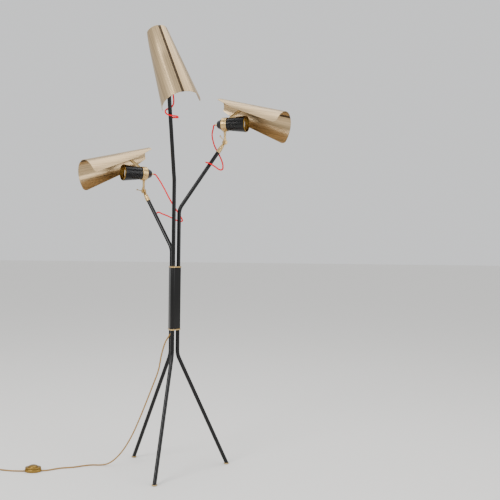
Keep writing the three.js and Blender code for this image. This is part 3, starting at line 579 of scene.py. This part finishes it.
def make_materials(p):
    m = {}
    # Satin powder coat: a near-black with soft highlights and a faint orange peel
    mat, tree, bsdf = shader("satin_black_powder_coat", p.tube_colour, 0.24, Specular_IOR_Level=0.32)
    grain(tree, bsdf, 0.9, strength=0.12, distance_mm=0.03, rough=(0.2, 0.3))
    m["black"] = mat
    # Smooth leather: black, soft sheen, fine pores
    mat, tree, bsdf = shader("black_leather", "040303", 0.34, Specular_IOR_Level=0.3)
    grain(tree, bsdf, 0.8, strength=0.25, distance_mm=0.08, rough=(0.28, 0.4))
    m["leather"] = mat
    # Satin brass: warm yellow metal with a fine relief
    mat, tree, bsdf = shader("satin_brass", "C6A873", 0.28, 1.0)
    grain(tree, bsdf, 0.5, strength=0.06, distance_mm=0.02, rough=(0.24, 0.38))
    m["brass"] = mat
    # Old-gold brass: the foot switch and mouth rings, browner than the fittings; on the mouth rings the
    # darker brown is partly painted shade and a painted dark reflection from inside the head
    mat, tree, bsdf = shader("old_gold_brass_and_painted_mouth_shade", "94763C", 0.32, 1.0)
    grain(tree, bsdf, 0.5, strength=0.06, distance_mm=0.02, rough=(0.26, 0.4))
    m["old_gold"] = mat
    # Brushed pale brass: champagne sheet with long marks down the shade, and darker and lighter bands down
    # it that are partly brush tone, partly painted reflections
    mat, tree, bsdf = shader("brushed_champagne_brass_and_painted_reflections", p.shade_colour, 0.3, 1.0, Anisotropic=0.4)
    grain(tree, bsdf, 0.35, strength=0.1, distance_mm=0.02, rough=(0.26, 0.4),
          stretch=(0.02, 1, 1), coords="UV")
    brush_and_reflection_bands(tree, bsdf, 5.0, p.shade_colour, (0.72, 1.12))
    m["champagne"] = mat
    # Groove down a shade: the same brass, darkened as painted shade and a painted dark reflection in the
    # groove
    mat, tree, bsdf = shader("seam_brass_with_painted_shade", "4A3E30", 0.5, 1.0)
    m["seam"] = mat
    # Red textile braid: matt, with a fine relief under a millimetre across
    mat, tree, bsdf = shader("red_braided_textile", p.cable_colour, 0.8, Specular_IOR_Level=0.15)
    grain(tree, bsdf, 0.6, strength=0.4, distance_mm=0.15)
    m["red"] = mat
    # Gold rayon cord: twisted yarn with a slight silk sheen
    mat, tree, bsdf = shader("gold_textile_cord", "9A7228", 0.55, Sheen_Weight=0.3)
    grain(tree, bsdf, 0.5, strength=0.4, distance_mm=0.15)
    m["gold"] = mat
    # Black moulded plastic: plug, bushing and lamp holder
    mat, tree, bsdf = shader("black_plastic", "1C1C1C", 0.45)
    grain(tree, bsdf, 1.0, strength=0.05, distance_mm=0.02)
    m["plastic"] = mat
    # Grey felt pad under a glide
    mat, tree, bsdf = shader("grey_felt", "6E6B66", 0.95)
    grain(tree, bsdf, 0.4, strength=0.4, distance_mm=0.1)
    m["felt"] = mat
    # Frosted glass lamp, unlit
    mat, tree, bsdf = shader("frosted_glass", "F1EEE6", 0.35, IOR=1.5)
    m["bulb"] = mat
    # Nickel-plated pins
    mat, tree, bsdf = shader("nickel", "C9C6BE", 0.25, 1.0)
    m["nickel"] = mat
    # Painted studio floor, pale warm grey
    mat, tree, bsdf = shader("pale_floor", "F0EEEA", 0.7)
    m["floor"] = mat
    return m


# ---------------------------------------------------------------- camera and light

def make_stage(p, mats):
    f = Matrix.Rotation(math.radians(-p.yaw), 4, "Z")
    r = (f @ Matrix.Rotation(math.radians(90 - p.pitch), 4, "X")
         @ Matrix.Rotation(math.radians(p.roll), 4, "Z"))
    cam = bpy.data.cameras.new("camera")
    cam.lens = p.lens
    cam.sensor_width = SENSOR
    eye = bpy.data.objects.new("camera", cam)
    eye.matrix_world = Matrix.Translation(AXIS + Vector((0, -p.distance, p.eye))) @ r
    bpy.context.scene.collection.objects.link(eye)
    bpy.context.scene.camera = eye
    cam.clip_end = FAR

    bpy.ops.mesh.primitive_plane_add(size=FLOOR, location=(0, 0, 0))
    floor = bpy.context.object
    floor.name = "floor"
    floor.data.materials.append(mats["floor"])

    for name, place, aim, size, power in LIGHTS:
        lamp = bpy.data.lights.new(name, "AREA")
        lamp.shape = "RECTANGLE"
        lamp.size, lamp.size_y = size
        lamp.energy = power
        o = bpy.data.objects.new(name, lamp)
        o.location = place
        o.rotation_euler = (Vector(aim) - Vector(place)).to_track_quat("-Z", "Y").to_euler()
        bpy.context.scene.collection.objects.link(o)

    world = bpy.data.worlds.new("studio")
    world.use_nodes = True
    world.node_tree.nodes["Background"].inputs["Color"].default_value = SKY
    world.node_tree.nodes["Background"].inputs["Strength"].default_value = SKY_STRENGTH
    bpy.context.scene.world = world


# ---------------------------------------------------------------- cords

def make_cord_to_switch(p, mats):
    route = in_frame("mains_a", 9)
    cord = swept(route, p.mains_diameter / 2, 18, p.twist)
    finish_piece(cord, "mains_cord_to_switch", mats["gold"], Matrix.Identity(4), "stand",
                 ("mains_cord_a",), 60)


def coil_route():
    """Points of the coil. Over the last part of a turn the cord shifts to the next turn's place."""
    points = []
    for i in range(COIL_TURNS * COIL_STEPS + 1):
        t = i / COIL_STEPS
        turn = int(min(t, COIL_TURNS - 1e-6))
        row, column = divmod(turn, COIL_WIDE)
        next_row, next_column = divmod(min(turn + 1, COIL_TURNS - 1), COIL_WIDE)
        k = max(0.0, (t - turn - COIL_SHIFT_FROM) / (1 - COIL_SHIFT_FROM))
        k = k * k * (3 - 2 * k)
        across = COIL_HALF_PITCH * (2 * (column + (next_column - column) * k) - 1)
        r = COIL_MID_R + (across if row % 2 == 0 else -across)
        z = COIL_HALF_PITCH + COIL_RISE * (row + (next_row - row) * k)
        a = math.radians(90) + 2 * math.pi * t
        x, y = COIL_CENTRE
        points.append(Vector((x + r * math.cos(a), y + r * math.sin(a), z)) * MM + AXIS)
    return points


def make_red_cables(p, mats):
    for side in SIDES:
        lower = in_frame("%s_lower" % side, 4)[::-1]
        upper = in_frame("%s_upper" % side, 4)
        for part, pts in (("lower", lower), ("upper", upper)):
            cable = swept(pts, p.cable_diameter / 2, 12)
            name = "red_cable_%s_%s" % (side, part)
            cable.name = name
            cable.data.name = name
            outward(cable)
            smooth(cable, 60)
            cable.data.materials.clear()
            cable.data.materials.append(mats["red"])
            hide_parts("cable_%s_%s" % (side, part))
            if part == "lower":
                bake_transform(cable)
            else:
                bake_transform(cable)


# ---------------------------------------------------------------- stand

def radial(azimuth, r, z):
    a = math.radians(azimuth)
    return Vector((r * math.cos(a), r * math.sin(a), z))


def rounded(corners, radii, steps=14):
    out = [corners[0]]
    for i in range(1, len(corners) - 1):
        a = (corners[i] - corners[i - 1]).normalized()
        b = (corners[i + 1] - corners[i]).normalized()
        turn = a.angle(b)
        r = radii[i - 1]
        start = corners[i] - a * r * math.tan(turn / 2)
        side = (b - a * b.dot(a)).normalized()
        for k in range(steps + 1):
            t = turn * k / steps
            out.append(start + a * r * math.sin(t) + side * r * (1 - math.cos(t)))
    out.append(corners[-1])
    return out


def make_tubes(mats):
    slope = (FOOT_R - TUBE_LINE_R) / (LEG_BEND_Z - FOOT_TOP_Z)
    for side in SIDES:
        azimuth, bend, lean, end = ARMS[side]
        reach = TUBE_LINE_R + (end - bend) * math.tan(math.radians(lean))
        corners = [radial(azimuth, FOOT_R + slope * GLIDE_OVERLAP, FOOT_TOP_Z - GLIDE_OVERLAP),
                   radial(azimuth, TUBE_LINE_R, LEG_BEND_Z),
                   radial(azimuth, TUBE_LINE_R, bend), radial(azimuth, reach, end)]
        pts = [q * MM for q in rounded(corners, (LEG_BEND_R, ARM_BEND_R))]
        tube = swept(pts, TUBE_R * MM, 32)
        activate(tube)
        bpy.ops.object.mode_set(mode="EDIT")
        bpy.ops.mesh.select_all(action="SELECT")
        bpy.ops.mesh.bisect(
            plane_co=(0, 0, FOOT_TOP_Z * MM), plane_no=(0, 0, 1), clear_inner=True, use_fill=True)
        bpy.ops.object.mode_set(mode="OBJECT")
        finish_piece(tube, "steel_" + TUBES[side], mats["black"], Matrix.Translation(AXIS), "stand",
                     (TUBES[side],), 50)

        at = radial(azimuth, FOOT_R, 0) * MM + AXIS
        glide = turn_piece(GLIDE, 40)
        finish_piece(glide, "brass_glide_" + side, mats["brass"], Matrix.Translation(at), "stand",
                     (FEET[side],))
        pad = turn_piece(PAD, 40)
        finish_piece(pad, "felt_pad_" + side, mats["felt"], Matrix.Translation(at), "stand")


def bundle_outline(skin, steps=14):
    """Rounded triangle that goes round the three tubes, skin mm out from each tube's axis."""
    pts = []
    for azimuth in sorted(arm[0] for arm in ARMS.values()):
        c = radial(azimuth, TUBE_LINE_R, 0)
        for k in range(steps + 1):
            a = math.radians(azimuth - 60 + 120 * k / steps)
            pts.append((c.x + skin * math.cos(a), c.y + skin * math.sin(a)))
    return pts


def outline_prism(outline, z0, z1):
    """A flat outline as a filled ring of a circle primitive, drawn up to z1."""
    bpy.ops.mesh.primitive_circle_add(vertices=len(outline), radius=0.01, fill_type="NGON")
    obj = bpy.context.object
    for v, (x, y) in zip(obj.data.vertices, outline):
        v.co = (x * MM, y * MM, z0 * MM)
    bpy.ops.object.mode_set(mode="EDIT")
    bpy.ops.mesh.select_all(action="SELECT")
    bpy.ops.mesh.extrude_region_move(TRANSFORM_OT_translate={"value": (0, 0, (z1 - z0) * MM)})
    bpy.ops.object.mode_set(mode="OBJECT")
    return obj


def make_column(mats):
    skin = outline_prism(bundle_outline(SLEEVE_SKIN), *SLEEVE_Z)
    bevel(skin, 0.9, 3, 60)
    finish_piece(skin, "leather_sleeve", mats["leather"], Matrix.Translation(AXIS), "stand",
                 ("column_sleeve",), 50)
    for name, z in COLLARS:
        plate = outline_prism(bundle_outline(COLLAR_SKIN), z, z + COLLAR_THICK)
        bevel(plate, 0.7, 3, 60)
        finish_piece(plate, "brass_" + name, mats["brass"], Matrix.Translation(AXIS), "stand", (name,), 40)


# ---------------------------------------------------------------- knuckles

def make_knuckles(mats):
    for side in SIDES:
        f = frame_matrix("ferrule_" + side)
        barrel = turn_piece(FERRULE, 48)
        neck = block(-NECK_HALF, NECK_HALF, -DISC_FAR, -DISC_NEAR, FERRULE_NECK_Z, DISC_Z)
        disc = pin_y(DISC_R, -DISC_FAR, -DISC_NEAR, DISC_Z, 48)
        bevel(disc, 0.5, 2, 60)
        body = boolean(boolean(barrel, neck, "UNION"), disc, "UNION")
        finish_piece(body, "brass_ferrule_" + side, mats["brass"], f, "stand", ("ferrule_" + side,), 40)

        f = frame_matrix("stem_" + side)
        bar = turn_piece(STEM, 40)
        neck = block(-NECK_HALF, NECK_HALF, DISC_NEAR, DISC_FAR, 0, STEM_NECK_Z)
        disc = pin_y(DISC_R, DISC_NEAR, DISC_FAR, 0, 48)
        bevel(disc, 0.5, 2, 60)
        body = boolean(boolean(bar, neck, "UNION"), disc, "UNION")
        finish_piece(body, "brass_stem_" + side, mats["brass"], f, "stem_" + side, ("stem_" + side,), 40)

        f = frame_matrix("lever_" + side)
        boss = pin_y(5.2, 5.45, 9.45, 0, 32)
        bevel(boss, 0.5, 2, 60)
        head = pin_y(4.4, -8.45, -5.45, 0, 32)
        bevel(head, 0.7, 2, 60)
        screw = pin_y(2.0, -6.0, 6.0, 0, 20)
        rod = turn_piece(LEVER_ROD, 24)
        rod = settle(rod, Matrix.Translation((0, 0.00745, 0)))
        body = boolean(boolean(boolean(boss, screw, "UNION"), head, "UNION"), rod, "UNION")
        finish_piece(body, "brass_lever_" + side, mats["brass"], f, "lever_" + side,
                     ("clamp_lever_" + side,), 40)


# ---------------------------------------------------------------- heads

def vent_tools():
    """Four staggered rows of small holes round a housing."""
    tools = []
    for row, u in enumerate(VENT_ROWS):
        for k in range(VENTS_IN_ROW):
            a = 360 / VENTS_IN_ROW * (k + 0.5 * (row % 2))
            bpy.ops.mesh.primitive_cylinder_add(vertices=12, radius=VENT_R * MM, depth=VENT_DEPTH * MM)
            tool = bpy.context.object
            tool.matrix_world = (Matrix.Rotation(math.radians(a), 4, "X")
                                 @ Matrix.Translation((u * MM, 0, VENT_OUT * MM)))
            bpy.ops.object.transform_apply(location=True, rotation=True, scale=True)
            tools.append(tool)
    return join_as_one(tools)


def make_heads(mats):
    for side in SIDES:
        f = frame_matrix("head_" + side)
        body = "head_" + side
        housing = turn_piece_x(HOUSING)
        housing = boolean(housing, vent_tools(), "DIFFERENCE")
        finish_piece(housing, "black_housing_" + side, mats["black"], f, body, ("housing_" + side,), 40)

        band = turn_piece_x(CLAMP_BAND)
        finish_piece(band, "brass_band_" + side, mats["brass"], f, body, ("clamp_band_" + side,), 40)
        cap = turn_piece_x(REAR_CAP)
        finish_piece(cap, "black_rear_cap_" + side, mats["black"], f, body, ("rear_cap_" + side,), 40)
        gland = turn_piece_x(GLAND, 32)
        finish_piece(gland, "brass_gland_" + side, mats["brass"], f, body, ("cable_gland_" + side,), 40)
        # The mouth ring's darker brass is partly painted shade and a painted dark reflection inside the
        # mouth
        ring = turn_piece_x(MOUTH_RING)
        finish_piece(ring, "brass_mouth_ring_" + side, mats["old_gold"], f, body, ("baffle_" + side,), 40)
        bulb = turn_piece_x(BULB, 40)
        finish_piece(bulb, "glass_bulb_" + side, mats["bulb"], f, body, ("bulb_" + side,), 40)

        turned = f @ Matrix.Rotation(math.radians(ROLL[side]), 4, "X")
        ring = turn_piece_x(BRACKET_RING)
        path = [(8.4, 25.6), (10.9, 25.6), under_ridge(106.2, 5.6), under_ridge(134, 5.6),
                under_ridge(134, 3.8), under_ridge(104, 3.8)]
        strap = outline_prism(path, -7, 7)
        strap = settle(strap, Matrix.Rotation(math.radians(90), 4, "X"))
        outward(strap)
        bevel(strap, 0.4, 2, 40)
        bracket = boolean(ring, strap, "UNION")
        finish_piece(bracket, "brass_bracket_" + side, mats["brass"], turned, "shade_" + side,
                     ("shade_bracket_" + side,), 40)
        make_shade(side, turned, mats)


RIDGE_LENGTH = math.hypot(RIDGE_RUN, RIDGE_DROP)
RIDGE_U, RIDGE_W = RIDGE_RUN / RIDGE_LENGTH, -RIDGE_DROP / RIDGE_LENGTH


def under_ridge(x, depth):
    """Place in a head's side plane, x mm along the ridge and depth mm below it."""
    return (RIDGE_REAR[0] + x * RIDGE_U + depth * RIDGE_W, RIDGE_REAR[1] + x * RIDGE_W - depth * RIDGE_U)


def gutter_radius(x):
    return SHADE_REAR_R + SHADE_FLARE * x / RIDGE_LENGTH


def half_girth(x):
    """Width of flat sheet from the ridge to one edge: cut back at the rear, rounded at the mouth."""
    f = x / RIDGE_LENGTH
    g = (SHADE_REAR_R + SHADE_FLARE * f) * math.pi / 2 + SHADE_WALL * f
    g *= 1 - SHADE_CUT * (1 - math.sin(math.pi / 2 * min(1, f / SHADE_CUT_RUN)))
    past = x - (RIDGE_LENGTH - SHADE_CORNER_R)
    if past > 0:
        g -= SHADE_CORNER_R - math.sqrt(max(SHADE_CORNER_R ** 2 - past * past, 0))
    return g


def shade_point(x, s, depth):
    """The place on the rolled sheet of a flat point, x along it and s across it."""
    r = gutter_radius(x)
    a = min(abs(s) / r, math.pi / 2)
    wall = max(abs(s) - r * math.pi / 2, 0)
    u, w = under_ridge(x, r - (r - depth) * math.cos(a) + wall)
    return u, math.copysign((r - depth) * math.sin(a), s), w


def make_shade(side, matrix, mats):
    """A flat grid rolled to the gutter shape, then given the sheet's thickness and smooth shading."""
    xs = [RIDGE_LENGTH * i / 40 for i in range(38)]
    xs += [RIDGE_LENGTH - SHADE_CORNER_R * (1 - math.sin(math.pi / 2 * i / 8)) for i in range(9)]
    groove = [(SEAM_FROM, 0), (6.5, 0.9), (7.2, 1.3), (14.8, 1.3), (15.5, 0.9), (SEAM_TO, 0)]
    nx = len(xs) - 1
    low = [-1 + i / 20 for i in range(21)]
    high = [(i + 1) / 18 for i in range(18)]
    ny = len(low) + len(groove) + len(high) - 1
    bpy.ops.mesh.primitive_grid_add(x_subdivisions=nx, y_subdivisions=ny, size=2)
    obj = bpy.context.object
    me = obj.data
    uv = me.uv_layers.active or me.uv_layers.new(name="UVMap")
    flat = {}
    for v in me.vertices:
        x = xs[round((v.co.x + 1) / 2 * nx)]
        j = round((v.co.y + 1) / 2 * ny)
        g = half_girth(x)
        row = ([(k * g, 0) for k in low] + groove
               + [(SEAM_TO + (g - SEAM_TO) * k, 0) for k in high])
        s, dip = row[j]
        flat[v.index] = (x * MM, s * MM)
        u, y, w = shade_point(x, s, SHEET / 2 + dip)
        v.co = (u * MM, y * MM, w * MM)
    for loop in me.loops:
        uv.data[loop.index].uv = flat[loop.vertex_index]
    me.materials.append(mats["champagne"])
    me.materials.append(mats["seam"])
    # Faces inside the groove take the darkened brass: painted shade and a painted dark reflection
    for poly in me.polygons:
        across = [flat[i][1] * 1000 for i in poly.vertices]
        in_shaded_seam = min(across) > SEAM_FROM - SEAM_MARGIN and max(across) < SEAM_TO + SEAM_MARGIN
        poly.material_index = 1 if in_shaded_seam else 0
    activate(obj)
    m = obj.modifiers.new("Sheet", "SOLIDIFY")
    m.thickness = SHEET * MM
    m.offset = 0
    m.use_even_offset = True
    bpy.ops.object.modifier_apply(modifier=m.name)
    obj.name = "champagne_shade_" + side
    me.name = obj.name
    settle(obj, matrix)
    outward(obj)
    smooth(obj, 50)
    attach(obj, "shade_" + side)
    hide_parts("shade_" + side)


# ---------------------------------------------------------------- switch, coil, plug

def oval_prism(a, b, z0, z1):
    n = 64
    angles = [2 * math.pi * i / n for i in range(n)]
    return outline_prism([(a * math.cos(t), b * math.sin(t)) for t in angles], z0, z1)


def make_switch(mats):
    at = Matrix.Translation(AXIS + Vector(SWITCH_AT))
    base = oval_prism(31, 22, 0, 12)
    bevel(base, 3, 4, 60)
    finish_piece(base, "brass_switch_base", mats["old_gold"], at, "stand", ("switch_base",))
    cover = oval_prism(29.5, 20.5, 12.3, 19)
    bevel(cover, 1.6, 3, 60)
    bpy.ops.mesh.primitive_cylinder_add(vertices=64, radius=0.0185, depth=0.03, location=(0, 0, 0.015))
    bore = bpy.context.object
    bpy.ops.object.transform_apply(location=True, rotation=True, scale=True)
    cover = boolean(cover, bore, "DIFFERENCE")
    finish_piece(cover, "brass_switch_cover", mats["old_gold"], at, "stand", ("switch_cover",))
    button = turn_piece(BUTTON, 48)
    finish_piece(button, "brass_foot_button", mats["old_gold"], at, "foot_button", ("foot_button",), 50)


def make_unseen_cord(p, mats):
    """The rest of the mains cord: out of the view to the left, in a neat coil with its plug."""
    tail = in_frame("plug_tail", 5)
    whole = in_frame("mains_b", 9)[:-1] + coil_route()[COIL_STEPS_OF_LEAD:]
    cord = swept(whole, p.mains_diameter / 2, 14, p.twist)
    finish_piece(cord, "mains_cord_to_coil", mats["gold"], Matrix.Identity(4), "stand",
                 ("mains_cord_b", "mains_coil"), 60)
    at = Matrix.Translation(AXIS + Vector(PLUG_AT) * MM)
    body = turn_piece_x(PLUG_BODY, 40)
    finish_piece(body, "plastic_plug_body", mats["plastic"], at, "stand", ("plug",), 40)
    pins = []
    for z in (-9.5, 9.5):
        pin = turn_piece_x(PLUG_PIN, 20)
        pins.append(settle(pin, Matrix.Translation((0, 0, z * MM))))
    pins = join_as_one(pins)
    finish_piece(pins, "nickel_plug_pins", mats["nickel"], at, "stand")
    tube = swept(tail, p.mains_diameter / 2, 14, p.twist)
    finish_piece(tube, "mains_cord_tail", mats["gold"], Matrix.Identity(4), "stand", (), 60)


# ---------------------------------------------------------------- add-on

class LampSettings(bpy.types.PropertyGroup):
    distance: bpy.props.FloatProperty(
        name="Camera distance", description="From the column axis to the eye", default=3.1, unit="LENGTH")
    eye: bpy.props.FloatProperty(
        name="Eye height", description="Height of the eye over the floor", default=0.918, unit="LENGTH")
    yaw: bpy.props.FloatProperty(
        name="Yaw", description="Turn of the camera to the right, in degrees", default=5.34)
    pitch: bpy.props.FloatProperty(
        name="Pitch", description="Tip of the camera downwards, in degrees", default=1.35)
    roll: bpy.props.FloatProperty(
        name="Roll", description="Turn about the line of sight, in degrees", default=0.85)
    lens: bpy.props.FloatProperty(
        name="Lens", description="Focal length for a 36 mm sensor, in millimetres", default=58.1)
    mains_diameter: bpy.props.FloatProperty(
        name="Mains cord", description="Diameter of the twisted mains cord", default=0.006, unit="LENGTH")
    twist: bpy.props.FloatProperty(
        name="Twist", description="Length of one turn of the cord's strands", default=0.024, unit="LENGTH")
    shade_colour: bpy.props.FloatVectorProperty(
        name="Shades", description="Colour of the brushed sheet", subtype="COLOR", size=4, min=0, max=1,
        default=colour("BFA680"))
    tube_colour: bpy.props.FloatVectorProperty(
        name="Tubes", description="Colour of the powder coat", subtype="COLOR", size=4, min=0, max=1,
        default=colour("030304"))
    cable_colour: bpy.props.FloatVectorProperty(
        name="Red cables", description="Colour of the textile braid", subtype="COLOR", size=4, min=0, max=1,
        default=colour("DC0018"))
    cable_diameter: bpy.props.FloatProperty(
        name="Red cable", description="Diameter of each head's cable", default=0.0056, unit="LENGTH")


MATS = {}


class LAMP_OT_stage(bpy.types.Operator):
    """Makes the materials, camera, lights and floor"""
    bl_idname = "lamp.stage"
    bl_label = "Camera, light and floor"

    def execute(self, context):
        p = context.scene.lamp
        MATS.update(make_materials(p))
        make_stage(p, MATS)
        return {"FINISHED"}


class LAMP_OT_cords(bpy.types.Operator):
    """Makes the mains cord, its coil and plug, and the red cables"""
    bl_idname = "lamp.cords"
    bl_label = "Cords"

    def execute(self, context):
        make_cord_to_switch(context.scene.lamp, MATS)
        make_unseen_cord(context.scene.lamp, MATS)
        make_red_cables(context.scene.lamp, MATS)
        return {"FINISHED"}


class LAMP_OT_stand(bpy.types.Operator):
    """Makes the tubes, feet, sleeve and collars"""
    bl_idname = "lamp.stand"
    bl_label = "Stand"

    def execute(self, context):
        make_tubes(MATS)
        make_column(MATS)
        return {"FINISHED"}


class LAMP_OT_knuckles(bpy.types.Operator):
    """Makes the ferrules, stems and clamp levers"""
    bl_idname = "lamp.knuckles"
    bl_label = "Knuckles"

    def execute(self, context):
        make_knuckles(MATS)
        return {"FINISHED"}


class LAMP_OT_heads(bpy.types.Operator):
    """Makes the housings, bulbs, brackets and shades"""
    bl_idname = "lamp.heads"
    bl_label = "Heads"

    def execute(self, context):
        make_heads(MATS)
        return {"FINISHED"}


class LAMP_OT_switch(bpy.types.Operator):
    """Makes the foot switch"""
    bl_idname = "lamp.switch"
    bl_label = "Foot switch"

    def execute(self, context):
        make_switch(MATS)
        return {"FINISHED"}


class LAMP_OT_kept_nodes(bpy.types.Operator):
    """Gives the CAD nodes that are shown their materials"""
    bl_idname = "lamp.kept_nodes"
    bl_label = "Kept CAD nodes"

    def execute(self, context):
        for o in context.scene.objects:
            if o.type == "MESH" and (o.name.startswith("lamp_holder_") or o.name == "cord_bushing"):
                o.data.materials.clear()
                o.data.materials.append(MATS["plastic"])
        return {"FINISHED"}


STEPS = (LAMP_OT_stage, LAMP_OT_cords, LAMP_OT_stand, LAMP_OT_knuckles, LAMP_OT_heads, LAMP_OT_switch,
         LAMP_OT_kept_nodes)


class LAMP_PT_panel(bpy.types.Panel):
    bl_label = "Tripod floor lamp"
    bl_idname = "LAMP_PT_panel"
    bl_space_type = "VIEW_3D"
    bl_region_type = "UI"
    bl_category = "Lamp"

    def draw(self, context):
        for name in LampSettings.__annotations__:
            self.layout.prop(context.scene.lamp, name)
        for step in STEPS:
            self.layout.operator(step.bl_idname)


def register():
    for cls in (LampSettings, *STEPS, LAMP_PT_panel):
        bpy.utils.register_class(cls)
    bpy.types.Scene.lamp = bpy.props.PointerProperty(type=LampSettings)


def unregister():
    del bpy.types.Scene.lamp
    for cls in reversed((LampSettings, *STEPS, LAMP_PT_panel)):
        bpy.utils.unregister_class(cls)


def main():
    register()
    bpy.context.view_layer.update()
    bpy.ops.lamp.stage()
    bpy.ops.lamp.cords()
    bpy.ops.lamp.stand()
    bpy.ops.lamp.knuckles()
    bpy.ops.lamp.heads()
    bpy.ops.lamp.switch()
    bpy.ops.lamp.kept_nodes()


if __name__ == "__main__":
    main()
